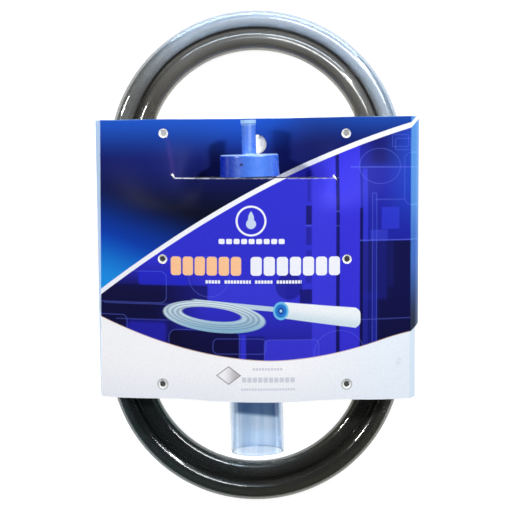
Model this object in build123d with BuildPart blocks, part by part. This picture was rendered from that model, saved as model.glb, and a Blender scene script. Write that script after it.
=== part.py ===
from build123d import *
from math import cos, hypot, pi, radians, sin, sqrt
import os

# Gravel vacuum siphon in its hanging card sleeve, lying on its back.
# +X is across the card, +Y is towards the hang hole, +Z is out of the front of the card.
# The origin is under the middle of the rigid pieces (all but the hose), on the surface
# they lie on. Lengths are in millimetres.

# ---------------------------------------------------------------- driving dimensions
# Hose: 12 mm bore, 16 mm outside, two turns side by side in one flat oval coil
HOSE_OD = 16.0
HOSE_CLEAR = 0.5           # room under the hose for its ties
COIL_Y = 22.65             # middle of the oval coil
COIL_HALF_SPAN = 80.0      # from there to the centre of each end arc
INNER_LANE = 94.0          # centreline radius of the inner turn
OUTER_LANE = INNER_LANE + HOSE_OD
HOSE_START_UP = 8.0        # where the inner turn starts, above the coil's middle, on the left
CROSS_UP = 0.0             # the hose changes lane between these two heights on the left
CROSS_DOWN = -75.0
HOSE_END_DOWN = -86.0      # where the outer turn ends
COIL_EDGE = 6.0            # rounding of the coil's outline

# Card sleeve, one folded blank
CARD_T = 0.5
CARD_TOP = 134.25
CARD_BOTTOM = -90.35
BACK_LEFT, BACK_RIGHT = -130.0, 132.0   # the back panel's side edges
FOLD_HALF_WIDTH = 124.4    # the two front creases
FOLD_Z = 18.0              # height of the front creases
ARCH_Z = 48.8              # crown of the lower front panel, over the tube
SLOT_Y = 86.65             # slot that the tube leaves by
SLOT_GAP = 0.3
HANG_X, HANG_Y, HANG_R = 0.4, 113.45, 8.0
PUNCH_R = 3.8              # the small punched holes
PUNCH_X, PUNCH_SHIFT = 73.0, -1.0
PUNCH_Y, PUNCH_PITCH = 22.5, 99.5
FLAP_WIDTH = 10.2
FLAP_CLEAR = 0.3           # from the side panel
FLAP_INSET, FLAP_TAPER = 2.0, 12.0     # from the card's ends, at its root and at its free edge

# Hose ties
TIE_T = 0.5
TIE_WIDTH = 12.0
TIE_Y = COIL_Y + 45.0

# Gravel tube; its axis leans left in plan and rises towards the nozzle
TUBE_R = 21.4
TUBE_WALL = 1.5
TUBE_LIP_ROUND = 0.5
MOUTH_X, MOUTH_Y = 1.4, -133.5
LEAN = 1.64                # degrees
RISE = 1.2                 # degrees

# Nozzle cap, measured along the tube's axis from the tube's mouth
SKIRT_S = 221.6            # open end of the skirt, just above the slot
CAP_TOP_S = 238.8
SKIRT_R, CAP_TOP_R = 23.7, 23.2
CAP_FIT = 0.05             # radial clearance between the cap and the tube
CAP_ROOF = 2.0
STEM_R, STEM_BORE_R = 5.65, 4.1
STEM_TOP_S = 266.3
BARB_R, BARB_LENGTH, BARB_RAMP = 6.15, 3.0, 0.5
CAP_ROUND, STEM_FOOT_ROUND = 1.6, 1.2

# Strainer disc, between the tube's end and the cap's roof
STRAINER_T = 2.0
STRAINER_CLEAR = 0.1       # on each side of it
STRAINER_R = 21.35
STRAINER_HOLE_R = 1.6
STRAINER_RINGS = ((5.0, 6), (10.2, 12), (15.6, 18))   # ring radius, holes

os.makedirs("parts", exist_ok=True)

# ---------------------------------------------------------------- worked-out places
hose_z0 = CARD_T + HOSE_CLEAR
hose_axis_z = hose_z0 + HOSE_OD / 2
coil_inner_r = INNER_LANE - HOSE_OD / 2
coil_outer_r = OUTER_LANE + HOSE_OD / 2

tube_axis = Vector(
    -sin(radians(LEAN)) * cos(radians(RISE)),
    cos(radians(LEAN)) * cos(radians(RISE)),
    sin(radians(RISE)),
)
mouth = Vector(MOUTH_X, MOUTH_Y, TUBE_R)


def across_tube(s):
    """The plane square to the tube's axis, s mm from its mouth."""
    return Plane(origin=mouth + tube_axis * s, x_dir=(1, 0, 0), z_dir=tube_axis)


def finish(part, label):
    """Names a finished piece and writes it out."""
    part.label = label
    export_step(part, f"parts/{label}.step")


# ---------------------------------------------------------------- gravel tube
strainer_s = CAP_TOP_S - CAP_ROOF - STRAINER_T - STRAINER_CLEAR
tube_end_s = strainer_s - STRAINER_CLEAR

with BuildPart() as gravel_tube:
    with BuildSketch(across_tube(0)):
        Circle(TUBE_R)
        Circle(TUBE_R - TUBE_WALL, mode=Mode.SUBTRACT)
    extrude(amount=tube_end_s)
    mouth_edges = gravel_tube.edges().filter_by(GeomType.CIRCLE).sort_by(Axis.Y)[0:2]
    fillet(mouth_edges, radius=TUBE_LIP_ROUND)
finish(gravel_tube.part, "gravel_tube")

# ---------------------------------------------------------------- nozzle cap
socket_r = TUBE_R + CAP_FIT
axis_plane = Plane(origin=mouth, x_dir=(1, 0, 0), z_dir=tube_axis)
half_section = Plane(origin=mouth, x_dir=axis_plane.x_dir, z_dir=-axis_plane.y_dir)
tube_centreline = Axis(mouth, tube_axis)

with BuildPart() as nozzle_cap:
    with BuildSketch(half_section):
        with BuildLine():
            Polyline(
                (socket_r, SKIRT_S),
                (SKIRT_R, SKIRT_S),
                (CAP_TOP_R, CAP_TOP_S),
                (STEM_R, CAP_TOP_S),
                (STEM_R, STEM_TOP_S - BARB_LENGTH - BARB_RAMP),
                (BARB_R, STEM_TOP_S - BARB_LENGTH),
                (BARB_R, STEM_TOP_S),
                (STEM_BORE_R, STEM_TOP_S),
                (STEM_BORE_R, CAP_TOP_S - CAP_ROOF),
                (socket_r, CAP_TOP_S - CAP_ROOF),
                close=True,
            )
        make_face()
    revolve(axis=tube_centreline)
    top_edges = nozzle_cap.edges().filter_by(GeomType.CIRCLE)
    shoulder = top_edges.sort_by(lambda e: abs(e.radius - CAP_TOP_R))[0]
    fillet(shoulder, radius=CAP_ROUND)
    stem_foot = nozzle_cap.edges().filter_by(GeomType.CIRCLE).filter_by(
        lambda e: abs(e.radius - STEM_R) < 0.01
    ).sort_by(Axis.Y)[0]
    fillet(stem_foot, radius=STEM_FOOT_ROUND)
finish(nozzle_cap.part, "nozzle_cap")

# ---------------------------------------------------------------- strainer disc
with BuildPart() as strainer:
    with BuildSketch(across_tube(strainer_s)):
        Circle(STRAINER_R)
        Circle(STRAINER_HOLE_R, mode=Mode.SUBTRACT)
        for ring_r, count in STRAINER_RINGS:
            with PolarLocations(ring_r, count):
                Circle(STRAINER_HOLE_R, mode=Mode.SUBTRACT)
    extrude(amount=STRAINER_T)
finish(strainer.part, "strainer")


# ---------------------------------------------------------------- hose coil and its ties
coil_span = 2 * COIL_HALF_SPAN

with BuildPart() as hose_coil:
    with BuildSketch(Plane.XY.offset(hose_z0)):
        with Locations((0, COIL_Y)):
            SlotCenterToCenter(coil_span, 2 * coil_outer_r, rotation=90)
            SlotCenterToCenter(coil_span, 2 * coil_inner_r, rotation=90, mode=Mode.SUBTRACT)
    extrude(amount=HOSE_OD)
    rims = hose_coil.edges().filter_by(lambda e: abs(e.center().Z - hose_axis_z) > HOSE_OD / 3)
    fillet(rims, radius=COIL_EDGE)
finish(hose_coil.part, "hose_coil")

# Each tie is a thin band wrapped round both turns on one side of the coil.
for side, name in ((-1, "hose_tie_left"), (1, "hose_tie_right")):
    with BuildPart() as tie:
        lane_middle = side * (INNER_LANE + OUTER_LANE) / 2
        band = Plane(
            origin=(lane_middle, TIE_Y, hose_axis_z), x_dir=(1, 0, 0), z_dir=(0, 1, 0)
        )
        with BuildSketch(band):
            RectangleRounded(2 * HOSE_OD + 2 * TIE_T, HOSE_OD + 2 * TIE_T, COIL_EDGE + TIE_T)
            RectangleRounded(2 * HOSE_OD, HOSE_OD, COIL_EDGE, mode=Mode.SUBTRACT)
        extrude(amount=TIE_WIDTH)
    finish(tie.part, name)

# ---------------------------------------------------------------- card sleeve
CARD_HEIGHT = CARD_TOP - CARD_BOTTOM


def punch(rows, mode=Mode.ADD):
    """The small holes of the given rows, left and right."""
    for row in rows:
        for side in (-1, 1):
            with Locations((PUNCH_SHIFT + side * PUNCH_X, PUNCH_Y + row * PUNCH_PITCH)):
                Circle(PUNCH_R, mode=mode)


with BuildPart() as card_back:
    with BuildSketch():
        with Locations(((BACK_LEFT + BACK_RIGHT) / 2, (CARD_TOP + CARD_BOTTOM) / 2)):
            Rectangle(BACK_RIGHT - BACK_LEFT, CARD_HEIGHT)
        with Locations((HANG_X, HANG_Y)):
            Circle(HANG_R, mode=Mode.SUBTRACT)
        punch((-1, 0, 1), Mode.SUBTRACT)
    extrude(amount=CARD_T)
finish(card_back.part, "card_back_panel")

# The side panels lean in towards the front creases.
for side, back_x, name in ((-1, BACK_LEFT, "card_left_side"), (1, BACK_RIGHT, "card_right_side")):
    with BuildPart() as card_side:
        with BuildSketch(Plane.XZ.offset(-CARD_TOP)):
            with BuildLine():
                Polyline(
                    (back_x, CARD_T),
                    (back_x - side * CARD_T, CARD_T),
                    (side * (FOLD_HALF_WIDTH - CARD_T), FOLD_Z),
                    (side * FOLD_HALF_WIDTH, FOLD_Z),
                    close=True,
                )
            make_face()
        extrude(amount=CARD_HEIGHT)
    finish(card_side.part, name)

# The glue flap is folded in from the right side panel onto the back panel.
with BuildPart() as glue_flap:
    flap_outer_x = BACK_RIGHT - CARD_T - FLAP_CLEAR
    with BuildSketch(Plane.XY.offset(CARD_T)):
        with BuildLine():
            Polyline(
                (flap_outer_x, CARD_BOTTOM + FLAP_INSET),
                (flap_outer_x, CARD_TOP - FLAP_INSET),
                (flap_outer_x - FLAP_WIDTH, CARD_TOP - FLAP_TAPER),
                (flap_outer_x - FLAP_WIDTH, CARD_BOTTOM + FLAP_TAPER),
                close=True,
            )
        make_face()
    extrude(amount=CARD_T)
finish(glue_flap.part, "card_glue_flap")

# The lower front panel arches over the tube from crease to crease.
arch_rise = ARCH_Z - FOLD_Z
arch_r = (FOLD_HALF_WIDTH**2 + arch_rise**2) / (2 * arch_rise)
inner_foot = sqrt((arch_r - CARD_T) ** 2 - (arch_r - arch_rise) ** 2)

with BuildPart() as front_lower:
    with BuildSketch(Plane.XZ.offset(-SLOT_Y)):
        with BuildLine():
            outside = ThreePointArc(
                (-FOLD_HALF_WIDTH, FOLD_Z), (0, ARCH_Z), (FOLD_HALF_WIDTH, FOLD_Z)
            )
            inside = ThreePointArc(
                (-inner_foot, FOLD_Z), (0, ARCH_Z - CARD_T), (inner_foot, FOLD_Z)
            )
            Line(outside @ 0, inside @ 0)
            Line(outside @ 1, inside @ 1)
        make_face()
    extrude(amount=SLOT_Y - CARD_BOTTOM)
    with BuildSketch(Plane.XY):
        punch((-1, 0))
    extrude(amount=2 * ARCH_Z, mode=Mode.SUBTRACT)
finish(front_lower.part, "card_front_lower")

# The upper front panel dips behind the nozzle, so that the tube can slide out over it.
SHOULDERS = ((98.0, 23.6), (76.0, 21.0), (54.0, 12.0), (34.0, 4.4), (16.0, 1.6))
TROUGH_Z = 1.2             # top of the panel at its lowest


def dipped(edge_x, drop):
    """The panel's cross-section, from crease to crease, lowered by drop."""
    right = [(edge_x, FOLD_Z)] + [(x, z - drop) for x, z in SHOULDERS]
    left = [(-x, z) for x, z in right]
    return left + [(0, TROUGH_Z - drop)] + right[::-1]


with BuildPart() as front_upper:
    with BuildSketch(Plane.XZ.offset(-CARD_TOP)):
        with BuildLine():
            outside = Spline(*dipped(FOLD_HALF_WIDTH, 0))
            inside = Spline(*dipped(FOLD_HALF_WIDTH - CARD_T, CARD_T))
            Line(outside @ 0, inside @ 0)
            Line(outside @ 1, inside @ 1)
        make_face()
    extrude(amount=CARD_TOP - SLOT_Y - SLOT_GAP)
    with BuildSketch(Plane.XY):
        with Locations((HANG_X, HANG_Y)):
            Circle(HANG_R)
        punch((1,))
    extrude(amount=2 * ARCH_Z, mode=Mode.SUBTRACT)
finish(front_upper.part, "card_front_upper")

# ---------------------------------------------------------------- hose length, for reference
turns = 4 * coil_span + 2 * pi * (INNER_LANE + OUTER_LANE)
left_out = HOSE_START_UP - HOSE_END_DOWN
crossing = hypot(CROSS_UP - CROSS_DOWN, HOSE_OD) - (CROSS_UP - CROSS_DOWN)
print(f"hose length {turns - left_out + crossing:.0f} mm, smallest turn radius {INNER_LANE:.0f} mm")
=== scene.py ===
"""Looks of the gravel vacuum siphon in its card sleeve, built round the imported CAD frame.

The pack lies on its back: +X across the card, +Y towards the hang hole, +Z out of its front.
Lengths are in metres; MM turns millimetres into metres.
"""
import bpy
from math import cos, exp, pi, radians, sin, sqrt
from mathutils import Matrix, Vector


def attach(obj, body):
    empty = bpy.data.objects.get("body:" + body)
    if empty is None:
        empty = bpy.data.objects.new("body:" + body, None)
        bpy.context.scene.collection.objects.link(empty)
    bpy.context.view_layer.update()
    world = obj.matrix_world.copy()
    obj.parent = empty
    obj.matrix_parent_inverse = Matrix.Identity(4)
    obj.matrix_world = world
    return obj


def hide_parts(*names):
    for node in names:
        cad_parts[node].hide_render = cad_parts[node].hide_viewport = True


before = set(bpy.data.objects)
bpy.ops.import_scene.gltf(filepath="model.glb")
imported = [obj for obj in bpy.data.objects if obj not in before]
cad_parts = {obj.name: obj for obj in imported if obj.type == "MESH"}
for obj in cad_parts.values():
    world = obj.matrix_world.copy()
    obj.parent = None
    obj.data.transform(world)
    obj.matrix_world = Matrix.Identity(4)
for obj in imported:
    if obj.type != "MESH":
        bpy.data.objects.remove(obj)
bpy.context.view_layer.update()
MM = 0.001

# ------------------------------------------------------------------ sizes, as in the CAD model
HOSE_R = 8.0 * MM
HOSE_BORE_R = 6.0 * MM
HOSE_Z = 9.0 * MM
COIL_Y = 22.65 * MM
COIL_HALF_SPAN = 80.0 * MM
INNER_LANE = 94.0 * MM
OUTER_LANE = 110.0 * MM
HOSE_START_UP = 8.0 * MM
CROSS_UP = 0.0
CROSS_DOWN = -75.0 * MM
HOSE_END_ANGLE = radians(3.2)      # the outer turn stops this far short of the left side

CARD_T = 0.5 * MM
CARD_TOP = 134.25 * MM
CARD_BOTTOM = -90.35 * MM
BACK_LEFT, BACK_RIGHT = -130.0 * MM, 132.0 * MM
FOLD_X = 124.4 * MM
FOLD_Z = 18.0 * MM
ARCH_Z = 48.8 * MM
SLOT_Y = 86.65 * MM
SLOT_GAP = 0.3 * MM
SLOT_HALF = 64.5 * MM
HANG = (0.4 * MM, 113.45 * MM)
HANG_R = 8.0 * MM
PUNCH_R = 3.8 * MM
PUNCH_X, PUNCH_SHIFT = 73.0 * MM, -1.0 * MM
PUNCH_Y, PUNCH_PITCH = 22.5 * MM, 99.5 * MM


# ------------------------------------------------------------------ camera and lights
def aim(obj, place, target, up="Y"):
    """Puts an object at a place, its -Z towards the target."""
    direction = Vector(target) - Vector(place)
    obj.location = place
    obj.rotation_euler = direction.to_track_quat("-Z", up).to_euler()


def make_camera():
    """Looks down on the middle of the coil, leaning a little from the hang-hole side."""
    distance, lean = 1.4, radians(3.4)
    data = bpy.data.cameras.new("camera")
    data.sensor_width = 36.0
    data.lens = 121.0
    camera = bpy.data.objects.new("camera", data)
    bpy.context.scene.collection.objects.link(camera)
    camera.location = (0, COIL_Y + distance * sin(lean), distance * cos(lean))
    camera.rotation_euler = (-lean, 0, 0)
    bpy.context.scene.camera = camera


def area_light(name, place, target, size, watts, colour=(1, 1, 1)):
    data = bpy.data.lights.new(name, "AREA")
    data.shape = "RECTANGLE"
    data.size, data.size_y = size
    data.energy = watts
    data.color = colour
    light = bpy.data.objects.new(name, data)
    bpy.context.scene.collection.objects.link(light)
    aim(light, place, target)
    return light


def make_lights():
    """Two side lamps towards the hang-hole end, three panels for the gloss, a dim surround."""
    middle = (0, COIL_Y, 0.02)
    area_light("key_right", (0.795, 0.784, 0.711), middle, (0.12, 0.12), 16.0)
    area_light("key_left", (-0.903, 0.46, 0.848), middle, (0.14, 0.14), 11.5)
    panels = (
        area_light("ceiling_panel", (0.25, 0.52, 0.55), (0, 0.10, 0), (0.7, 0.5), 3.0,
                   (0.80, 0.91, 1.0)),
        area_light("low_panel", (0.05, 0.80, 0.13), (0, 0.20, 0.01), (1.2, 0.26), 17.0,
                   (0.74, 0.87, 1.0)),
        area_light("strip", (0.40, 0.62, 0.88), middle, (0.75, 0.16), 9.0),
    )
    for panel in panels:           # these show in gloss and clear plastic only
        panel.visible_diffuse = False
    world = bpy.data.worlds.new("studio")
    world.use_nodes = True
    background = world.node_tree.nodes["Background"]
    background.inputs["Color"].default_value = (0.90, 0.94, 1.0, 1)
    background.inputs["Strength"].default_value = 0.08
    bpy.context.scene.world = world
    bpy.context.scene.view_settings.view_transform = "Standard"


# ------------------------------------------------------------------ shader helper
class Shader:
    """One material's node tree, built with short calls. Values may be numbers or sockets."""

    def __init__(self, name):
        self.material = bpy.data.materials.new(name)
        self.material.use_nodes = True
        self.tree = self.material.node_tree
        self.tree.nodes.clear()
        self.output = self.node("ShaderNodeOutputMaterial")
        self.place = self.node("ShaderNodeTexCoord").outputs["Object"]
        split = self.node("ShaderNodeSeparateXYZ", Vector=self.place)
        self.x, self.y, self.z = split.outputs

    def node(self, kind, settings=None, **inputs):
        made = self.tree.nodes.new(kind)
        for name, value in (settings or {}).items():
            setattr(made, name, value)
        for name, value in inputs.items():
            self.set(made.inputs[name.replace("_", " ")], value)
        return made

    def set(self, socket, value):
        if isinstance(value, bpy.types.NodeSocket):
            self.tree.links.new(value, socket)
        elif socket.type == "RGBA" and len(value) == 3:
            socket.default_value = (*value, 1)
        else:
            socket.default_value = value

    def math(self, operation, a, b=0.0, c=0.0, clamp=False):
        made = self.tree.nodes.new("ShaderNodeMath")
        made.operation = operation
        made.use_clamp = clamp
        for socket, value in zip(made.inputs, (a, b, c)):
            self.set(socket, value)
        return made.outputs[0]

    def ramp(self, value, low, high, to_low=0.0, to_high=1.0):
        """A smooth step from to_low to to_high as the value goes from low to high."""
        made = self.node("ShaderNodeMapRange", {"interpolation_type": "SMOOTHSTEP"})
        for name, number in zip(("Value", "From Min", "From Max", "To Min", "To Max"),
                                (value, low, high, to_low, to_high)):
            self.set(made.inputs[name], number)
        return made.outputs[0]

    def mix(self, factor, a, b, blend="MIX"):
        made = self.tree.nodes.new("ShaderNodeMix")
        made.data_type = "RGBA"
        made.blend_type = blend
        self.set(made.inputs["Factor"], factor)
        self.set(made.inputs[6], a)
        self.set(made.inputs[7], b)
        return made.outputs[2]

    def noise(self, scale, detail=2.0, roughness=0.5, stretch=None):
        place = self.place
        if stretch:
            place = self.node("ShaderNodeMapping", Vector=place, Scale=stretch).outputs[0]
        made = self.node("ShaderNodeTexNoise", Vector=place, Scale=scale, Detail=detail,
                         Roughness=roughness)
        return made.outputs["Fac"]

    def bump(self, height, strength, distance):
        return self.node("ShaderNodeBump", Height=height, Strength=strength,
                         Distance=distance).outputs[0]

    def principled(self, **inputs):
        made = self.node("ShaderNodeBsdfPrincipled", **inputs)
        return made.outputs[0]

    def finish(self, surface):
        self.tree.links.new(surface, self.output.inputs["Surface"])
        return self.material

    # Shapes on the card, as masks from 0 to 1. Places and sizes are in millimetres.
    def millimetres(self):
        self.u = self.math("MULTIPLY", self.x, 1000.0)
        self.v = self.math("MULTIPLY", self.y, 1000.0)

    def edge(self, distance, soft=0.35):
        """1 where the signed distance is negative."""
        return self.ramp(distance, soft, -soft)

    def box_distance(self, centre, half, corner):
        """Signed distance to a box with round corners."""
        across = self.math("ABSOLUTE", self.math("SUBTRACT", self.u, centre[0]))
        along = self.math("ABSOLUTE", self.math("SUBTRACT", self.v, centre[1]))
        dx = self.math("SUBTRACT", across, half[0] - corner)
        dy = self.math("SUBTRACT", along, half[1] - corner)
        ox = self.math("MAXIMUM", dx, 0.0)
        oy = self.math("MAXIMUM", dy, 0.0)
        outside = self.math("SQRT", self.math("MULTIPLY_ADD", ox, ox,
                                              self.math("MULTIPLY", oy, oy)))
        inside = self.math("MINIMUM", self.math("MAXIMUM", dx, dy), 0.0)
        return self.math("SUBTRACT", self.math("ADD", outside, inside), corner)

    def box_mask(self, left, right, low, high, soft=2.0):
        """1 inside an upright box with soft edges."""
        distance = self.box_distance(((left + right) / 2, (low + high) / 2),
                                     ((right - left) / 2, (high - low) / 2), 0)
        return self.edge(distance, soft)

    def ellipse_distance(self, centre, radii, turn=0.0):
        """Roughly the signed distance to an ellipse turned by an angle in degrees."""
        c, s = cos(radians(turn)), sin(radians(turn))
        du = self.math("SUBTRACT", self.u, centre[0])
        dv = self.math("SUBTRACT", self.v, centre[1])
        along = self.math("MULTIPLY_ADD", du, c / radii[0],
                          self.math("MULTIPLY", dv, s / radii[0]))
        across = self.math("MULTIPLY_ADD", du, -s / radii[1],
                           self.math("MULTIPLY", dv, c / radii[1]))
        length = self.math("SQRT", self.math("MULTIPLY_ADD", along, along,
                                             self.math("MULTIPLY", across, across)))
        return self.math("MULTIPLY", self.math("SUBTRACT", length, 1.0), min(radii))

    def outline(self, distance, half_width, soft=0.3):
        """1 along the edge of a shape."""
        return self.edge(self.math("SUBTRACT", self.math("ABSOLUTE", distance), half_width),
                         soft)


def rgb(red, green, blue):
    """A screen colour from 0 to 255 as the linear light that a shader takes."""
    return tuple(((c / 255 + 0.055) / 1.055) ** 2.4 if c > 10 else c / 255 / 12.92
                 for c in (red, green, blue))


# ------------------------------------------------------------------ mesh helpers
def mesh_object(name, vertices, faces, materials, face_slots=None, smooth=True):
    mesh = bpy.data.meshes.new(name)
    mesh.from_pydata(vertices, [], faces)
    for material in materials:
        mesh.materials.append(material)
    if face_slots:
        mesh.polygons.foreach_set("material_index", face_slots)
    mesh.polygons.foreach_set("use_smooth", [smooth] * len(mesh.polygons))
    mesh.validate()
    mesh.update()
    obj = bpy.data.objects.new(name, mesh)
    bpy.context.scene.collection.objects.link(obj)
    return obj


def apply_modifiers(obj):
    """Replaces an object's mesh with what its modifiers make of it."""
    graph = bpy.context.evaluated_depsgraph_get()
    mesh = bpy.data.meshes.new_from_object(obj.evaluated_get(graph), depsgraph=graph)
    obj.modifiers.clear()
    obj.data = mesh


# ------------------------------------------------------------------ hose
def hose_route():
    """Control points of the coil: the inner turn, the change of lane and the outer turn."""
    step = radians(7.5)
    swell = 1 / cos(step / 2)      # the spline cuts inside its control points by this much
    straight_step = 20 * MM
    points = []

    def arc(radius, middle_y, first, last):
        count = round(abs(last - first) / step)
        for i in range(count):
            angle = first + (last - first) * (i + 0.5) / count
            points.append((radius * swell * cos(angle), middle_y + radius * swell * sin(angle)))

    def straight(x, y_from, y_to):
        count = max(2, round(abs(y_to - y_from) / straight_step))
        for i in range(count):
            points.append((x, y_from + (y_to - y_from) * (i + 0.5) / count))

    top, bottom = COIL_HALF_SPAN, -COIL_HALF_SPAN
    points.append((-INNER_LANE, HOSE_START_UP))
    straight(-INNER_LANE, HOSE_START_UP, top)
    arc(INNER_LANE, top, pi, 0)
    straight(INNER_LANE, top, bottom)
    arc(INNER_LANE, bottom, 0, -pi)
    cross_steps = 9
    for i in range(cross_steps + 1):
        share = i / cross_steps
        shift = share * share * (3 - 2 * share)
        x = -INNER_LANE + (INNER_LANE - OUTER_LANE) * shift
        points.append((x, CROSS_DOWN + (CROSS_UP - CROSS_DOWN) * share))
    straight(-OUTER_LANE, CROSS_UP + 4 * MM, top)
    arc(OUTER_LANE, top, pi, 0)
    straight(OUTER_LANE, top, bottom)
    arc(OUTER_LANE, bottom, 0, HOSE_END_ANGLE - pi)
    end = HOSE_END_ANGLE - pi
    points.append((OUTER_LANE * cos(end), bottom + OUTER_LANE * sin(end)))
    return [(x, COIL_Y + y, HOSE_Z) for x, y in points]


def spline_points(control):
    """The line of a smooth curve with these control points."""
    curve = bpy.data.curves.new("route", "CURVE")
    curve.dimensions = "3D"
    curve.resolution_u = 4
    spline = curve.splines.new("NURBS")
    spline.points.add(len(control) - 1)
    for point, place in zip(spline.points, control):
        point.co = (*place, 1)
    spline.order_u = 3
    spline.use_endpoint_u = True
    holder = bpy.data.objects.new("route", curve)
    bpy.context.scene.collection.objects.link(holder)
    graph = bpy.context.evaluated_depsgraph_get()
    line = bpy.data.meshes.new_from_object(holder.evaluated_get(graph), depsgraph=graph)
    points = [Vector(v.co) for v in line.vertices]
    bpy.data.objects.remove(holder)
    return points


def hose_mesh(path, sides=32):
    """A hollow hose along a flat path: outer wall, bore and two cut ends."""
    vertices, faces = [], []
    up = Vector((0, 0, 1))
    for radius in (HOSE_R, HOSE_BORE_R):
        for i, point in enumerate(path):
            ahead = path[min(i + 1, len(path) - 1)] - path[max(i - 1, 0)]
            across = ahead.normalized().cross(up)
            for k in range(sides):
                angle = 2 * pi * k / sides
                vertices.append(point + (across * cos(angle) + up * sin(angle)) * radius)
    rings = len(path)
    inner = rings * sides
    for i in range(rings - 1):
        for k in range(sides):
            a, b = i * sides + k, i * sides + (k + 1) % sides
            faces.append((a, a + sides, b + sides, b))
            faces.append((inner + a, inner + b, inner + b + sides, inner + a + sides))
    for i, flip in ((0, False), (rings - 1, True)):
        for k in range(sides):
            a, b = i * sides + k, i * sides + (k + 1) % sides
            end = (a, b, inner + b, inner + a)
            faces.append(end[::-1] if flip else end)
    return vertices, faces


def hose_material():
    """Soft smoky clear plastic with extruder streaks, painted light and a hazy coat on the outer
    turn's top, and painted shade low down and where the turns touch.
    """
    s = Shader("hose_pvc")
    s.millimetres()
    cloud = s.noise(14.0, 3.0)
    tint = s.mix(s.ramp(cloud, 0.35, 0.65), rgb(122, 118, 108), rgb(140, 136, 126))
    # Painted shade darkens the tint towards the bottom arc, and there towards the left it turns
    # teal.
    low = s.ramp(s.v, 60, -60)
    tint = s.mix(s.math("MULTIPLY", low, 0.75), tint, rgb(102, 103, 96))
    teal = s.math("MULTIPLY", low, s.ramp(s.u, 30, -90))
    tint = s.mix(s.math("MULTIPLY", teal, 0.5), tint, rgb(78, 104, 112))
    rough = s.ramp(s.noise(60.0, 2.0), 0.3, 0.7, 0.05, 0.12)
    bump = s.bump(s.noise(35.0, 3.0), 0.2, 0.0004)
    # Painted light: the outer turn's top is tinted pale where light falls, less towards the left,
    # with a hazy coat there.
    across = s.math("MAXIMUM", s.math("SUBTRACT", s.v, (COIL_Y + COIL_HALF_SPAN) / MM), 0.0)
    radius = s.math("SQRT", s.math("MULTIPLY_ADD", s.u, s.u, s.math("MULTIPLY", across, across)))
    high = s.math("MULTIPLY", s.ramp(s.v, 60, 130, 0.1, 1.0), s.ramp(s.u, -104, -48, 0.2, 1.0))
    tint = s.mix(s.math("MULTIPLY", s.ramp(radius, 101, 108, 0.0, 0.85), high), tint,
                 rgb(168, 186, 204))
    lit_band_coat = s.math("MULTIPLY", s.ramp(radius, 99, 105, 0.3, 1.0), high)
    lit_band_coat = s.math("MULTIPLY", lit_band_coat, s.ramp(radius, 110, 115, 1.0, 0.15))
    # Painted shade darkens the seam where the two turns touch.
    crease_shade = s.math("SUBTRACT", radius, s.ramp(s.v, 140, 190, 102.0, 103.8))
    crease_shade = s.math("MULTIPLY", s.outline(crease_shade, 1.0, 1.0), s.ramp(s.v, 60, 100))
    tint = s.mix(s.math("MULTIPLY", crease_shade, 0.95), tint, rgb(20, 19, 20))
    lit_band_coat = s.math("MULTIPLY", lit_band_coat, s.math("SUBTRACT", 1.0, crease_shade))
    plastic = s.principled(Base_Color=tint, Roughness=rough, IOR=1.5, Specular_IOR_Level=0.5,
                           Transmission_Weight=0.93, Normal=bump,
                           Coat_Weight=lit_band_coat, Coat_Roughness=0.8, Coat_IOR=2.4)
    return s.finish(plastic)


def make_hose():
    path = spline_points(hose_route())
    vertices, faces = hose_mesh(path)
    hose = mesh_object("hose", vertices, faces, [hose_material()])
    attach(hose, "sleeve")
    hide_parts("hose_coil")


# ------------------------------------------------------------------ card sleeve
FRONT_SLOT, BACK_SLOT = 0, 3       # each is followed by the card's inside and its cut edge
TOP_TILT, BOTTOM_TILT = 0.0135, -0.006     # of the cut edges, which are a little out of square
LEFT_LEAN = 3.3 * MM               # how much less the left side leans out at the bottom


def smooth_step(t):
    t = min(1.0, max(0.0, t))
    return t * t * (3 - 2 * t)


def arch_height(x):
    """The front as it bows over the tube."""
    rise = ARCH_Z - FOLD_Z
    radius = (FOLD_X**2 + rise**2) / (2 * rise)
    return ARCH_Z - (radius - sqrt(radius**2 - min(abs(x), FOLD_X)**2))


def dip_height(x):
    """The front where it dips behind the nozzle, between two shoulders."""
    shoulder = 9.5 * MM * (1 - (x / FOLD_X)**2)
    dip = 26.3 * MM * exp(-(abs(x) / (56 * MM))**3)
    return FOLD_Z + shoulder - dip


def front_height(x, y, above_slot):
    """Height of the printed face. The slot lets its two lips part between its ends."""
    blend = smooth_step((y - SLOT_Y + 30 * MM) / (60 * MM))
    parted = smooth_step((SLOT_HALF - abs(x)) / (24 * MM))
    if above_slot:
        blend += (1 - blend) * parted
    else:
        blend *= 1 - parted
    wave = 0.25 * MM * sin(x / (17 * MM) + 1) * sin(y / (23 * MM))
    ease = 1 - (x / FOLD_X)**2
    return arch_height(x) * (1 - blend) + dip_height(x) * blend + wave * ease


def card_top(x):
    """The upper cut edge."""
    return CARD_TOP + TOP_TILT * x


def card_bottom(x):
    """The lower cut edge, a little higher beside the tube than under it."""
    lift = 1.6 * MM * exp(-((abs(x) - 64 * MM) / (30 * MM))**2)
    return CARD_BOTTOM + BOTTOM_TILT * x + lift


def back_edge(side, y):
    """Where a side panel meets the back: the left side leans out less near the bottom."""
    up = (y - CARD_BOTTOM) / (CARD_TOP - CARD_BOTTOM)
    return BACK_RIGHT if side > 0 else BACK_LEFT + LEFT_LEAN * (1 - up)


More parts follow.
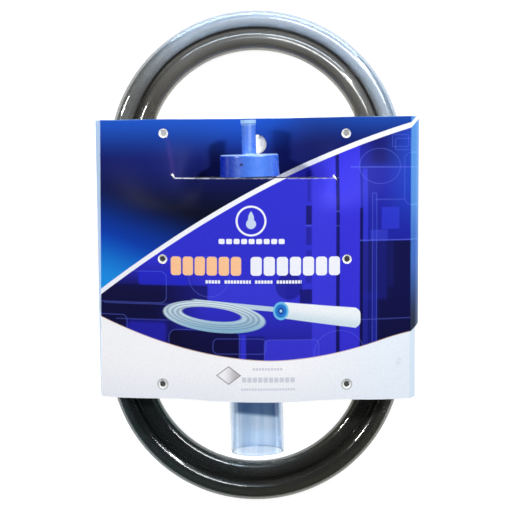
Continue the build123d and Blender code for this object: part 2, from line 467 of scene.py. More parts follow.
def card_section(y, above_slot):
    """Points round the sleeve at one height, with the front first, and their face kinds."""
    front_columns, side_columns, back_columns = 120, 3, 24
    points, kinds = [], []
    for i in range(front_columns):
        x = FOLD_X * (2 * i / front_columns - 1)
        points.append((x, front_height(x, y, above_slot)))
        kinds.append("front")
    right, left = back_edge(1, y), back_edge(-1, y)
    for i in range(side_columns):
        t = i / side_columns
        points.append((FOLD_X + (right - FOLD_X) * t, FOLD_Z + (CARD_T - FOLD_Z) * t))
        kinds.append("side")
    for i in range(back_columns):
        points.append((right + (left - right) * i / back_columns, 0.0))
        kinds.append("back")
    for i in range(side_columns):
        t = i / side_columns
        points.append((left - (FOLD_X + left) * t, CARD_T * (1 - t) + FOLD_Z * t))
        kinds.append("side")
    return points, kinds


def card_blank():
    """The folded sheet's outside face as vertices, faces and material slots."""
    lower_rows, upper_rows = 44, 14
    rows = [(i / lower_rows, False) for i in range(lower_rows + 1)]
    rows += [(i / upper_rows, True) for i in range(upper_rows + 1)]
    vertices, faces, slots = [], [], []
    index, previous = [], None
    for share, above in rows:
        slot_row = (share == 1 and not above) or (share == 0 and above)
        middle = SLOT_Y + share * (CARD_TOP - SLOT_Y) if above else \
            CARD_BOTTOM + share * (SLOT_Y - CARD_BOTTOM)
        section, kinds = card_section(middle, above)
        row = []
        for column, (x, z) in enumerate(section):
            joined = slot_row and above and not (
                kinds[column] == "front" and abs(x) < SLOT_HALF)
            if joined:
                row.append(previous[column])
                continue
            if above:
                y = SLOT_Y + SLOT_GAP + share * (card_top(x) - SLOT_Y - SLOT_GAP)
            else:
                y = card_bottom(x) + share * (SLOT_Y - card_bottom(x))
            row.append(len(vertices))
            vertices.append((x, y, z))
        index.append(row)
        previous = row
    first_upper = lower_rows + 1
    for r in range(len(index) - 1):
        if r + 1 == first_upper:
            continue
        for column in range(len(kinds)):
            following = (column + 1) % len(kinds)
            faces.append((index[r][column], index[r][following],
                          index[r + 1][following], index[r + 1][column]))
            slots.append(BACK_SLOT if kinds[column] == "back" else FRONT_SLOT)
    return vertices, faces, slots


def hole_cutter(material):
    """Rods through every hole."""
    vertices, faces = [], []
    places = [(PUNCH_SHIFT + side * PUNCH_X, PUNCH_Y + row * PUNCH_PITCH, PUNCH_R)
              for side in (-1, 1) for row in (-1, 0, 1)]
    places.append((*HANG, HANG_R))
    sides = 40
    for cx, cy, radius in places:
        start = len(vertices)
        for z in (-5 * MM, 60 * MM):
            for k in range(sides):
                angle = 2 * pi * k / sides
                vertices.append((cx + radius * cos(angle), cy + radius * sin(angle), z))
        faces.append(tuple(start + k for k in range(sides))[::-1])
        faces.append(tuple(start + sides + k for k in range(sides)))
        for k in range(sides):
            a, b = start + k, start + (k + 1) % sides
            faces.append((a, b, b + sides, a + sides))
    return mesh_object("hole_cutter", vertices, faces, [material], smooth=False)


def make_sleeve():
    inside, core = card_inside_material(), card_core_material()
    materials = [card_front_material(), inside, core, card_back_material(), inside, core]
    vertices, faces, slots = card_blank()
    sleeve = mesh_object("card_sleeve", vertices, faces, materials, slots)
    thick = sleeve.modifiers.new("thickness", "SOLIDIFY")
    thick.thickness = CARD_T
    thick.offset = -1
    thick.use_even_offset = True
    thick.material_offset = 1
    thick.material_offset_rim = 2
    apply_modifiers(sleeve)
    cutter = hole_cutter(core)
    holes = sleeve.modifiers.new("holes", "BOOLEAN")
    holes.operation = "DIFFERENCE"
    holes.solver = "EXACT"
    holes.object = cutter
    apply_modifiers(sleeve)
    bpy.data.objects.remove(cutter)
    sleeve.data.set_sharp_from_angle(angle=radians(35))
    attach(sleeve, "sleeve")
    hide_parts("card_back_panel", "card_front_lower", "card_front_upper",
                "card_left_side", "card_right_side")


def make_burrs():
    """White board pushed in round each punched hole, and torn up at the slot's two ends."""
    vertices, faces = [], []
    sides = 32
    for side in (-1, 1):
        for row in (-1, 0, 1):
            cx, cy = PUNCH_SHIFT + side * PUNCH_X, PUNCH_Y + row * PUNCH_PITCH
            start = len(vertices)
            for radius, drop in ((PUNCH_R, 0.25), (PUNCH_R - 0.9 * MM, 0.5),
                                 (PUNCH_R - 1.6 * MM, 1.3)):
                for k in range(sides):
                    angle = 2 * pi * k / sides
                    ragged = 1 + 0.05 * sin(5 * angle + cx * 400) * (radius < PUNCH_R)
                    x = cx + radius * ragged * cos(angle)
                    y = cy + radius * ragged * sin(angle)
                    vertices.append((x, y, front_height(x, y, cy > SLOT_Y) - drop * MM))
            for ring in (0, 1):
                for k in range(sides):
                    a = start + ring * sides + k
                    b = start + ring * sides + (k + 1) % sides
                    faces.append((a, b, b + sides, a + sides))
    for x, y, length, width in ((-65.6, 88.0, 4.2, 1.3), (62.6, 86.9, 4.6, 1.4),
                                (-71.2, 119.0, 1.5, 0.6)):
        x, y, length, width = x * MM, y * MM, length * MM, width * MM
        start = len(vertices)
        for t in (-0.5, 0.0, 0.5):
            for across in (-0.5, 0.5):
                px = x + (0.6 * length * t + 0.8 * width * across * (1 - t))
                py = y - (0.8 * length * t - 0.6 * width * across * (1 - t))
                lift = 0.15 * MM + 1.0 * MM * (1 - abs(2 * t))
                vertices.append((px, py, front_height(px, py, y > SLOT_Y) + lift))
        faces += [(start, start + 2, start + 3, start + 1),
                  (start + 2, start + 4, start + 5, start + 3)]
    burrs = mesh_object("card_burrs", vertices, faces, [card_core_material()])
    thick = burrs.modifiers.new("thickness", "SOLIDIFY")
    thick.thickness = 0.15 * MM
    apply_modifiers(burrs)
    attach(burrs, "sleeve")


# ------------------------------------------------------------------ card materials
FOLD = FOLD_X / MM                 # the prints' places are in millimetres
STRIPE_HALF = 2.15


def stripe_height(s):
    """The bowed white stripe's middle, in millimetres, as a function of x."""
    return s.math("MULTIPLY_ADD", s.u, 0.537,
                  s.math("MULTIPLY_ADD", s.math("MULTIPLY", s.u, s.u), -0.00093, 76.5))


def smile_height(s):
    """The upper edge of the white foot of the print, which flattens at the right."""
    away = s.math("ABSOLUTE", s.math("SUBTRACT", s.u, 12.0))
    rise = s.ramp(s.u, 100, 150, 0.00467, 0.00364)
    return s.math("MULTIPLY_ADD", s.math("POWER", away, 1.8), rise, -57.5)


def box(s, colour, place, corner, ink, strength, soft=0.5):
    """Lays a box of ink between two sides and two ends over a colour."""
    left, right, low, high = place
    shape = s.box_distance(((left + right) / 2, (low + high) / 2),
                           ((right - left) / 2, (high - low) / 2), corner)
    return s.mix(s.math("MULTIPLY", s.edge(shape, soft), strength), colour, ink)


def corner_field(s):
    """Blue above the stripe: light along the top and at lower left, dark between."""
    colour = s.mix(s.ramp(s.v, 58, 104), rgb(12, 16, 38), rgb(20, 28, 98))
    # Painted shade: the light top band ends higher right of the stem.
    height = s.math("SUBTRACT", s.v, s.ramp(s.u, -10, 50, 0, 12))
    colour = s.mix(s.ramp(height, 98, 142), colour, rgb(32, 88, 200))
    # Painted reflection: a faint violet glint from below the upper left hole to the slot's left end.
    streak = s.math("MULTIPLY_ADD", s.v, 0.17, s.math("ADD", s.u, 50.6))
    streak = s.math("MULTIPLY", s.outline(streak, 0.2, 4.0), s.box_mask(-90, -50, 86, 118))
    colour = s.mix(s.math("MULTIPLY", streak, 0.25), colour, rgb(104, 70, 156))
    glow = s.math("MULTIPLY_ADD", s.u, 0.35, s.math("ADD", s.v, 42.0))
    colour = s.mix(s.ramp(glow, 84, 28), colour, rgb(12, 64, 180))
    return s.mix(s.ramp(glow, 46, 0), colour, rgb(30, 142, 226))


def banded_field(s):
    """Violet below the stripe, with plain bands, round boxes and circles."""
    violet, lit, navy = rgb(50, 50, 204), rgb(60, 58, 216), rgb(12, 13, 36)
    dark, deep, line = rgb(16, 17, 60), rgb(20, 20, 92), rgb(92, 108, 226)
    colour = s.mix(s.ramp(s.v, -66, 0), rgb(30, 28, 130), violet)
    shade = s.math("MULTIPLY", s.ramp(s.u, -34, -82), s.ramp(s.v, 26, -6))
    colour = s.mix(shade, colour, dark)
    boxes = (
        ((-125, -38, -12, 2), 1, rgb(18, 17, 62), 0.75, 1.0),
        ((-93.6, -53.6, 2, 14), 3, rgb(38, 42, 200), 0.8, 1.0),
        ((-38, 24, -14, 3), 2, rgb(60, 62, 214), 0.55, 1.5),
        ((-103, -71, -44, -27), 4, rgb(44, 42, 196), 0.6, 3.0),
        ((-69, -13, -62, -33), 6, rgb(16, 15, 42), 0.9, 2.0),
        ((-12.2, -7.8, -66, -36.6), 1, violet, 0.9, 0.4),
        ((-7.8, 6.6, -72, -38), 1, rgb(18, 18, 80), 0.6, 1.0),
        ((6.6, 49.7, -72, -40.8), 3.5, lit, 0.8, 0.5),
        ((34.5, 44.6, -12, -1), 0.5, rgb(16, 16, 78), 0.8, 0.6),
        ((39.3, 43.9, 4, 30), 0.3, deep, 0.35, 0.6),
        ((39.3, 43.9, 34, 48), 0.3, deep, 0.5, 0.6),
        ((39.3, 43.9, 50, 65), 0.3, rgb(22, 20, 84), 0.85, 0.6),
        ((40.3, 43.0, 68, 92), 0.3, deep, 0.35, 0.6),
        ((44.2, 63.4, -72, 102), 0.5, lit, 0.8, 0.5),
        ((63.4, 66.2, -72, 112), 0.3, rgb(16, 16, 78), 0.85, 0.4),
        ((66.4, 82.4, -72, 112), 0.3, rgb(54, 50, 212), 0.85, 0.4),
        ((83.0, 140, 36.6, 130), 0.1, rgb(26, 32, 146), 0.85, 0.4),
        ((83.0, 140, -72, 36.6), 0.1, navy, 0.92, 0.4),
        ((83.0, 104.5, -10, 37.2), 0.3, rgb(28, 32, 128), 0.6, 1.5),
        ((83.0, 97, -72, -4), 0.3, rgb(30, 34, 150), 0.5, 2.0),
        ((84.8, 88.9, -72, 36), 0.3, rgb(40, 42, 160), 0.5, 0.4),
        ((84.8, 88.9, 36, 94), 0.3, rgb(50, 54, 206), 0.8, 0.4),
        ((82.4, 84.8, -72, 63), 0.3, rgb(12, 12, 56), 0.8, 0.4),
        ((92.5, 96.0, -72, 74.5), 0.3, rgb(36, 44, 168), 0.45, 0.3),
        ((104.8, 110, 0, 36), 0.3, rgb(24, 28, 104), 0.6, 2.0),
        ((91, 105, 36.6, 45.5), 0.3, rgb(62, 74, 216), 0.4, 0.4),
        ((100, 114.6, 46, 63.4), 0.3, rgb(48, 56, 208), 0.7, 0.4),
    )
    for place, corner, ink, strength, soft in boxes:
        colour = box(s, colour, place, corner, ink, strength, soft)
    top = s.math("MULTIPLY", s.ramp(s.u, 82, 98), s.ramp(s.v, 92, 102))
    colour = s.mix(s.math("MULTIPLY", top, 0.8), colour, rgb(22, 24, 92))
    glow = s.math("MULTIPLY", s.ramp(s.u, 98, 125), s.ramp(s.v, 34, 90))
    colour = s.mix(s.math("MULTIPLY", glow, 0.8), colour, rgb(38, 72, 196))
    disc = s.edge(s.ellipse_distance((26, 1.5), (10.5, 10.5)), 1.0)
    colour = s.mix(s.math("MULTIPLY", disc, 0.55), colour, rgb(14, 16, 92))
    round_boxes = (
        ((119, 150, 65, 107), 6), ((92.5, 96, -72, 74.5), 0.5), ((-150, -71, -12.3, 12.6), 5),
        ((-150, -103, -42, -22.6), 4), ((109, 122, 111.5, 121), 1), ((111.5, 124, 109, 118), 1),
        ((6.6, 49.7, -90, -40.8), 4), ((-69, -13, -62, -33), 6), ((-34, 8, -52, -40), 4),
    )
    for (left, right, low, high), corner in round_boxes:
        shape = s.outline(s.box_distance(((left + right) / 2, (low + high) / 2),
                                         ((right - left) / 2, (high - low) / 2), corner),
                          0.25, 0.35)
        colour = s.mix(s.math("MULTIPLY", shape, 0.45), colour, line)
    rules = (         # left end, right end, height, strength
        (75.4, 150, 95.2, 0.6), (95, 119, 69.5, 0.35), (82.4, 150, 37.2, 0.65),
        (82.4, 150, -25.8, 0.35), (-122, -60, -13.3, 0.35), (-112, -65, -25.8, 0.3),
        (39.3, 43.9, 49.3, 0.5), (63.4, 66.2, 60.4, 0.5), (63.4, 66.2, 49, 0.4),
    )
    for left, right, height, strength in rules:
        colour = box(s, colour, (left, right, height - 0.35, height + 0.35), 0, line, strength)
    rings = (((99, 96), (16.5, 14)), ((-37, 9), (16, 16)), ((66, -52), (20, 18)))
    for centre, radii in rings:
        shape = s.outline(s.ellipse_distance(centre, radii), 0.25, 0.35)
        colour = s.mix(s.math("MULTIPLY", shape, 0.4), colour, line)
    return colour


def picture(s, colour):
    """A plain drawing of a coiled hose with a wide tube on its end."""
    pale, shade = rgb(186, 208, 226), rgb(96, 128, 158)
    neck = s.math("ABSOLUTE", s.math("SUBTRACT", s.v, s.math("MULTIPLY_ADD", s.u, -0.094, -15.2)))
    neck = s.edge(s.math("SUBTRACT", neck, 1.9))
    neck = s.math("MULTIPLY", neck, s.math("MULTIPLY", s.ramp(s.u, -52, -46), s.ramp(s.u, 16, 14)))
    colour = s.mix(neck, colour, pale)
    ring = s.math("MAXIMUM", s.ellipse_distance((-33, -22.7), (40.5, 12.2), -6),
                  s.math("MULTIPLY", s.ellipse_distance((-35, -20.6), (24, 5.4), -6), -1.0))
    ring = s.edge(ring)
    light = s.mix(s.ramp(s.v, -38, -12), rgb(130, 176, 204), rgb(214, 230, 240))
    colour = s.mix(ring, colour, light)
    for radii in ((36.5, 10.4), (32.4, 8.7), (28.3, 7.0)):
        line = s.outline(s.ellipse_distance((-34, -21.7), radii, -6), 0.28, 0.35)
        colour = s.mix(s.math("MULTIPLY", s.math("MULTIPLY", line, ring), 0.7), colour, shade)
    top = s.math("MULTIPLY_ADD", s.u, -0.092, -8.9)
    foot = s.math("MULTIPLY_ADD", s.u, -0.148, -20.5)
    tube = s.math("MAXIMUM", s.math("SUBTRACT", s.v, top), s.math("SUBTRACT", foot, s.v))
    bulge = s.math("ABSOLUTE", s.math("MULTIPLY", s.math("ADD", s.v, 24.2), 1 / 8))
    end = s.math("SUBTRACT", 83.0, s.math("MULTIPLY", s.math("POWER", bulge, 4.0), 4.0))
    tube = s.math("MAXIMUM", tube, s.math("SUBTRACT", s.u, end))
    tube = s.math("MAXIMUM", tube, s.math("SUBTRACT", 22.0, s.u))
    across = s.math("DIVIDE", s.math("SUBTRACT", s.v, foot), s.math("SUBTRACT", top, foot))
    light = s.mix(s.ramp(across, 0.0, 0.75), rgb(206, 224, 234), rgb(238, 244, 248))
    colour = s.mix(s.edge(tube), colour, light)
    for radius, blue in ((7.2, rgb(110, 190, 235)), (5.4, rgb(40, 120, 205)),
                         (2.6, rgb(24, 60, 160)), (1.2, rgb(170, 215, 240))):
        disc = s.edge(s.ellipse_distance((19.6, -17.9), (radius * 0.85, radius)))
        colour = s.mix(disc, colour, blue)
    return colour


def blocks(s, middle, left, right, pitch, half_width, half_height, corner):
    """A row of equal round-cornered blocks between two edges, in place of a line of print."""
    keep_u = s.u
    inside = s.math("MULTIPLY", s.ramp(s.u, left - 0.1, left), s.ramp(s.u, right, right - 0.1))
    s.u = s.math("FLOORED_MODULO", s.math("SUBTRACT", s.u, left), pitch)
    shape = s.edge(s.box_distance((pitch / 2, middle), (half_width, half_height), corner), 0.25)
    s.u = keep_u
    return s.math("MULTIPLY", shape, inside)


def marks(s, colour):
    """Unlettered stand-ins for the print's marks: a drop in a ring, and rows of blocks."""
    white, peach = rgb(238, 240, 250), rgb(250, 196, 150)
    ring = s.outline(s.ellipse_distance((-3.9, 53), (11.3, 11.3)), 0.75)
    colour = s.mix(ring, colour, white)
    tip = s.math("MAXIMUM", s.ellipse_distance((-10.9, 54.5), (9.3, 9.3)),
                 s.ellipse_distance((3.1, 54.5), (9.3, 9.3)))
    drop = s.math("MINIMUM", tip, s.ellipse_distance((-3.9, 50.6), (3.9, 3.9)))
    colour = s.mix(s.edge(drop), colour, rgb(196, 214, 238))
    rows = (
        (white, 36.9, -30.0, 23.0, 5.9, 2.3, 2.0, 1.0),
        (peach, 17.4, -68.0, -11.0, 9.5, 4.1, 7.4, 2.4),
        (white, 17.4, -5.0, 67.0, 10.3, 4.4, 7.4, 2.6),
        (white, 5.0, -40.0, -28.0, 2.4, 0.95, 1.3, 0.5),
        (white, 5.0, -25.0, -4.0, 2.4, 0.95, 1.3, 0.5),
        (white, 5.0, -1.0, 13.0, 2.4, 0.95, 1.3, 0.5),
        (white, 5.0, 16.0, 36.0, 2.4, 0.95, 1.3, 0.5),
    )
    for ink, *place in rows:
        colour = s.mix(blocks(s, *place), colour, ink)
    return colour


def foot_field(s):
    """The white foot of the print, with a plain grey diamond and pale blocks."""
    colour = s.mix(s.ramp(s.v, -92, -60), rgb(240, 243, 251), rgb(250, 250, 254))
    colour = s.mix(s.ramp(s.u, 20, 124), colour, rgb(234, 243, 254))
    across = s.math("ABSOLUTE", s.math("ADD", s.u, 21.6))
    along = s.math("ABSOLUTE", s.math("ADD", s.v, 69.0))
    diamond = s.math("SUBTRACT", s.math("ADD", s.math("MULTIPLY", across, 0.75), along), 7.0)
    colour = s.mix(s.math("MULTIPLY", s.outline(diamond, 0.5), 0.8), colour, rgb(128, 118, 120))
    shaded = s.math("MULTIPLY", s.edge(diamond), s.ramp(s.u, -26, -15))
    colour = s.mix(s.math("MULTIPLY", shaded, 0.55), colour, rgb(120, 108, 112))
    # Painted shadow: a thin grey ring round each lower punched hole.
    for side in (-1, 1):
        hole = ((PUNCH_SHIFT + side * PUNCH_X) / MM, (PUNCH_Y - PUNCH_PITCH) / MM)
        hole_rim_shadow = s.outline(s.ellipse_distance(hole, (4.1, 4.1)), 0.3, 0.4)
        colour = s.mix(s.math("MULTIPLY", hole_rim_shadow, 0.7), colour, rgb(96, 112, 120))
    pale = rgb(196, 200, 212)
    for place in ((-64.0, -3.0, 21.0, 2.4, 0.9, 1.0, 0.4), (-72.5, -11.5, 31.0, 4.25, 1.7, 2.0, 0.8),
                  (-80.0, -12.0, 31.0, 2.15, 0.8, 0.8, 0.3)):
        colour = s.mix(s.math("MULTIPLY", blocks(s, *place), 0.75), colour, pale)
    return colour


def glossy_card(s, colour):
    """Varnished card: a little grain in the ink, slow waves in the gloss."""
    grain = s.ramp(s.noise(900.0, 2.0), 0.3, 0.7, 0.96, 1.03)
    colour = s.mix(1.0, colour, s.node("ShaderNodeCombineColor", Red=grain, Green=grain,
                                       Blue=grain).outputs[0], "MULTIPLY")
    rough = s.ramp(s.noise(22.0, 3.0), 0.3, 0.7, 0.40, 0.50)
    height = s.math("ADD", s.noise(28.0, 2.0), s.math("MULTIPLY", s.noise(700.0, 2.0), 0.04))
    return s.principled(Base_Color=colour, Roughness=rough, IOR=1.45,
                        Specular_IOR_Level=0.03, Normal=s.bump(height, 0.15, 0.0004))


def side_panel_lines(s):
    """Thin lines of the print that run on over the right side panel."""
    thin = s.outline(s.box_distance((136, 86), (17, 21), 6), 0.35, 0.5)
    for height in (95.2, 37.2):
        line = s.outline(s.math("SUBTRACT", s.v, height), 0.3, 0.4)
        thin = s.math("MAXIMUM", thin, line)
    return thin


def side_panels(s, colour, printed, stripe, thin):
    """Light from the side pales the left panel. The right one fades down from light blue."""
    left = s.ramp(s.u, -FOLD - 0.1, -FOLD - 0.8)
    colour = s.mix(s.math("MULTIPLY", left, 0.85), colour, rgb(172, 198, 226))
    right = s.ramp(s.u, FOLD - 1.0, FOLD + 0.4)
    # Painted shade and light: on the white foot the right panel is greyer near the fold and white
    # beyond it.
    bare = s.math("MULTIPLY", right, s.math("SUBTRACT", 1.0, printed))
    pale = s.mix(s.ramp(s.u, 128.4, 129.6), rgb(198, 214, 228), rgb(250, 252, 255))
    colour = s.mix(s.math("MULTIPLY", bare, 0.9), colour, pale)
    fade = s.mix(s.ramp(s.v, -30, 30), rgb(6, 24, 54), rgb(44, 98, 184))
    fade = s.mix(s.ramp(s.v, 30, 80), fade, rgb(68, 134, 206))
    fade = s.mix(s.ramp(s.u, 128, 132, 0.0, 0.25), fade, rgb(176, 206, 224))
    right = s.math("MULTIPLY", s.math("MULTIPLY", right, printed), s.math("SUBTRACT", 1.0, stripe))
    colour = s.mix(s.math("MULTIPLY", right, 0.93), colour, fade)
    thin = s.math("MULTIPLY", s.math("MULTIPLY", thin, right), 0.4)
    return s.mix(thin, colour, rgb(124, 176, 236))


def wear(s, colour):
    """The worn upper rim, the white core of the slot's cut lip, and one small dent."""
    rim = s.math("SUBTRACT", s.math("MULTIPLY_ADD", s.u, -TOP_TILT, s.v), CARD_TOP / MM)
    patchy = s.ramp(s.noise(40.0, 3.0), 0.4, 0.6, 0.2, 0.8)
    colour = s.mix(s.math("MULTIPLY", s.ramp(rim, -0.7, -0.3), patchy), colour, rgb(150, 194, 236))
    lip = s.edge(s.box_distance((-1.0, 86.35), (64.0, 0.45), 0.1), 0.2)
    fray = s.math("ADD", s.ramp(s.noise(260.0, 3.0), 0.38, 0.62), 0.5)
    lip = s.math("MULTIPLY", lip, s.math("MULTIPLY", fray, s.ramp(s.u, -20, -62, 0.3, 1.0)))
    colour = s.mix(s.math("MINIMUM", lip, 1.0), colour, rgb(226, 226, 246))
    dent = s.outline(s.ellipse_distance((114.5, -60.5), (1.2, 2.4), -25), 0.35, 0.5)
    return s.mix(s.math("MULTIPLY", dent, 0.3), colour, rgb(168, 186, 204))


def card_front_material():
    """The printed face of the front and the two side panels."""
    s = Shader("card_front_print")
    s.millimetres()
    # On the side panels the print runs on down the slope, so x is unfolded there.
    past = s.math("MAXIMUM", s.math("SUBTRACT", s.math("ABSOLUTE", s.u), FOLD), 0.0)
    flat_u = s.u
    s.u = s.math("MULTIPLY_ADD", s.math("SIGN", s.u), s.math("MULTIPLY", past, 2.37), s.u)
    above = s.math("SUBTRACT", s.v, stripe_height(s))
    colour = s.mix(s.edge(above, 0.4), corner_field(s), marks(s, picture(s, banded_field(s))))
    stripe = s.outline(above, STRIPE_HALF, 0.35)
    colour = s.mix(stripe, colour, rgb(240, 241, 250))
    smile = s.math("SUBTRACT", s.v, smile_height(s))
    colour = s.mix(s.edge(smile, 0.35), colour, foot_field(s))
    colour = s.mix(s.math("MULTIPLY", s.outline(smile, 0.4), 0.6), colour, rgb(238, 206, 190))
    thin = side_panel_lines(s)
    s.u = flat_u
    printed = s.edge(s.math("MULTIPLY", smile, -1.0), 0.35)
    colour = side_panels(s, colour, printed, stripe, thin)
    return s.finish(glossy_card(s, wear(s, colour)))


def card_back_material():
    """The back isn't seen: plain blue over a white foot, with pale blocks."""
    s = Shader("card_back_print")
    s.millimetres()
    colour = s.mix(s.ramp(s.v, -50, 130), rgb(26, 32, 110), rgb(36, 84, 200))
    panel = s.edge(s.box_distance((0, 12), (96, 52), 6))
    colour = s.mix(panel, colour, rgb(236, 239, 250))
    for i in range(8):
        row = blocks(s, 54.0 - 12 * i, -84.0, 84.0 - 22 * (i % 3), 5.25, 2.1, 1.5, 0.6)
        colour = s.mix(s.math("MULTIPLY", row, 0.7), colour, rgb(120, 132, 176))
    colour = s.mix(s.edge(s.math("ADD", s.v, 58.0)), colour, rgb(238, 240, 250))
    return s.finish(glossy_card(s, colour))


def card_inside_material():
    """Unprinted board: matt and faintly fibrous."""
    s = Shader("card_inside")
    fibre = s.noise(240.0, 4.0, 0.6, (1.0, 0.35, 1.0))
    colour = s.mix(s.ramp(fibre, 0.3, 0.7), rgb(226, 224, 216), rgb(242, 241, 236))
    return s.finish(s.principled(Base_Color=colour, Roughness=0.85,
                                 Normal=s.bump(fibre, 0.3, 0.0002)))


def card_core_material():
    """The cut edge of the board."""
    s = Shader("card_core")
    fibre = s.noise(1500.0, 2.0)
    colour = s.mix(s.ramp(fibre, 0.3, 0.7), rgb(232, 232, 230), rgb(252, 252, 252))
    return s.finish(s.principled(Base_Color=colour, Roughness=0.9))


# ------------------------------------------------------------------ rigid pieces
def tube_material():
    """Clear rigid plastic, faintly blue, with fine streaks along it."""
    s = Shader("clear_tube")
    streak = s.noise(120.0, 3.0, 0.6, (1.0, 0.02, 1.0))
    tint = s.mix(s.ramp(streak, 0.35, 0.65), rgb(195, 212, 231), rgb(221, 231, 241))
    rough = s.ramp(streak, 0.3, 0.7, 0.03, 0.10)
    glass = s.principled(Base_Color=tint, Roughness=rough, IOR=1.46, Transmission_Weight=1.0,
                         Normal=s.bump(streak, 0.2, 0.0003))
    lamp = s.node("ShaderNodeLightPath").outputs["Is Shadow Ray"]
    clear = s.node("ShaderNodeBsdfTransparent", Color=(0.80, 0.88, 0.96)).outputs[0]
    mixed = s.node("ShaderNodeMixShader")
    s.set(mixed.inputs[0], lamp)
    s.set(mixed.inputs[1], glass)
    s.set(mixed.inputs[2], clear)
    return s.finish(mixed.outputs[0])


def nozzle_material():
    """Blue moulded plastic, satin, with a moulding mark, painted shade at its sides and painted
    highlights on rim and stem.
    """
    s = Shader("nozzle_blue")
    s.millimetres()
    along = s.math("MULTIPLY_ADD", s.u, -0.0286, s.v)
    # Painted shade: dark at the cap's left side, lighter towards its crest, darker again to the
    # right.
    across = s.ramp(s.u, -27, 2)
    colour = s.mix(across, rgb(6, 36, 168), rgb(76, 130, 238))
    colour = s.mix(s.ramp(s.u, 4, 21), colour, rgb(50, 98, 222))
    swirl = s.noise(60.0, 3.0, 0.5, (1.0, 0.1, 1.0))
    colour = s.mix(s.ramp(swirl, 0.3, 0.7, 0.0, 0.12), colour, rgb(96, 150, 246))
    # Painted highlight along the cap's top rim.
    colour = s.mix(s.outline(s.math("SUBTRACT", along, 105.0), 0.5, 0.4), colour,
                   rgb(168, 202, 250))
    colour = s.mix(s.ramp(along, 106, 108), colour, rgb(74, 122, 222))
    # Painted highlight: a streak down the stem.
    shine = s.outline(s.math("SUBTRACT", s.u, -5.0), 0.7, 1.6)
    shine = s.math("MULTIPLY", shine, s.ramp(along, 105, 109))
    colour = s.mix(s.math("MULTIPLY", shine, 0.6), colour, rgb(160, 186, 244))
    # Painted highlight at the stem's open end.
    colour = s.mix(s.ramp(along, 127, 131), colour, rgb(158, 198, 246))
    mark = s.ellipse_distance((-11.6, 97.0), (1.9, 1.6), 30)
    mark = s.math("ADD", mark, s.math("MULTIPLY", s.noise(700.0), 1.2))
    colour = s.mix(s.edge(mark, 0.4), colour, rgb(10, 14, 84))
    rough = s.ramp(s.noise(240.0, 3.0), 0.3, 0.7, 0.24, 0.34)
    return s.finish(s.principled(Base_Color=colour, Roughness=rough, IOR=1.5,
                                 Normal=s.bump(s.noise(60.0, 2.0), 0.06, 0.0001)))


def strainer_material():
    s = Shader("strainer_blue")
    colour = s.mix(s.ramp(s.noise(60.0), 0.3, 0.7), rgb(40, 88, 206), rgb(60, 112, 226))
    return s.finish(s.principled(Base_Color=colour, Roughness=0.4,
                                 Normal=s.bump(s.noise(400.0), 0.15, 0.0002)))


def tie_material():
    """Thin white plastic band, with a crimp pattern across it."""
    s = Shader("tie_band")
    ribs = s.node("ShaderNodeTexWave", {"bands_direction": "Y"}, Vector=s.place,
                  Scale=250.0).outputs["Fac"]
    colour = s.mix(s.ramp(s.noise(80.0), 0.3, 0.7), rgb(224, 226, 228), rgb(244, 245, 246))
    return s.finish(s.principled(Base_Color=colour, Roughness=0.45,
                                 Normal=s.bump(ribs, 0.3, 0.0002)))


def paint(node, material):
    """Gives a CAD node its finished material."""
    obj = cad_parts[node]
    obj.data.materials.clear()
    obj.data.materials.append(material)


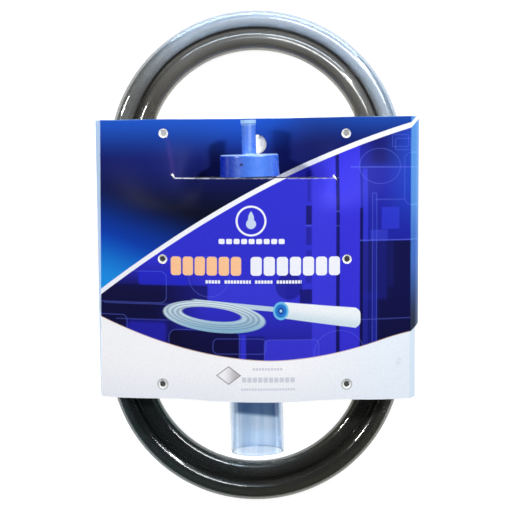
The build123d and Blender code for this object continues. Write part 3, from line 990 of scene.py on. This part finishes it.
# ------------------------------------------------------------------ floor
def make_floor():
    """A lit white table. It is dark where the pack lies on it and lets no light in."""
    punch_x = PUNCH_X / MM
    s = Shader("floor_white")
    s.millimetres()
    dark = s.edge(s.box_distance((0, 12), (122, 96), 6), 8)
    keep_u, keep_v = s.u, s.v
    s.u = s.math("ABSOLUTE", s.math("SUBTRACT", s.u, PUNCH_SHIFT / MM))
    under_top = s.edge(s.box_distance((punch_x, 118), (40, 12), 4), 6)
    dark = s.math("MAXIMUM", dark, s.math("MULTIPLY", under_top, 0.6))
    s.u = keep_u
    # Painted shadow under the hose coil, deeper towards the bottom arc.
    across = s.math("MAXIMUM", s.math("SUBTRACT", s.math("ABSOLUTE", s.math(
        "SUBTRACT", s.v, COIL_Y / MM)), COIL_HALF_SPAN / MM), 0.0)
    radius = s.math("SQRT", s.math("MULTIPLY_ADD", s.u, s.u, s.math("MULTIPLY", across, across)))
    lane = s.math("ABSOLUTE", s.math("SUBTRACT", radius, s.ramp(s.v, 60, 120, 102.5, 97)))
    coil = s.math("MULTIPLY", s.ramp(lane, 13.0, 8.0), s.ramp(s.v, -60, 130, 0.9, 0.5))
    dark = s.math("MAXIMUM", dark, coil)
    s.v = s.math("MULTIPLY_ADD", s.u, 0.085, s.v)
    mouth = s.edge(s.box_distance((1.0, -90), (20.6, 17.5), 1.0), 2.5)
    s.v = keep_v
    # Painted shade under the tube's end, fainter.
    end = s.edge(s.ellipse_distance((0.5, -135), (17, 4.5)), 1.5)
    mouth = s.math("MAXIMUM", mouth, s.math("MULTIPLY", end, 0.3))
    # The tube's blue shade shows through clear plastic only, never on the bare table.
    mouth = s.math("MULTIPLY", mouth, s.node("ShaderNodeLightPath").outputs["Is Transmission Ray"])
    light = s.ramp(s.math("MAXIMUM", dark, s.math("MULTIPLY", mouth, 0.5)), 0.0, 1.0, 0.97, 0.05)
    paper = s.principled(Base_Color=s.mix(dark, (0.30, 0.30, 0.31), (0.04, 0.05, 0.07)),
                         Roughness=0.8, Emission_Strength=light,
                         Emission_Color=s.mix(mouth, (1, 1, 1), (0.18, 0.30, 0.50)))
    half = 3.0
    corners = [(-half, -half, 0), (half, -half, 0), (half, half, 0), (-half, half, 0)]
    floor = mesh_object("floor", corners, [(0, 1, 2, 3)], [s.finish(paper)], smooth=False)
    floor.location.z = -0.0004


# ------------------------------------------------------------------ the whole
make_camera()
make_lights()
make_hose()
make_sleeve()
make_burrs()
paint("card_glue_flap", card_inside_material())
paint("gravel_tube", tube_material())
paint("nozzle_cap", nozzle_material())
paint("strainer", strainer_material())
band = tie_material()
paint("hose_tie_left", band)
paint("hose_tie_right", band)
make_floor()
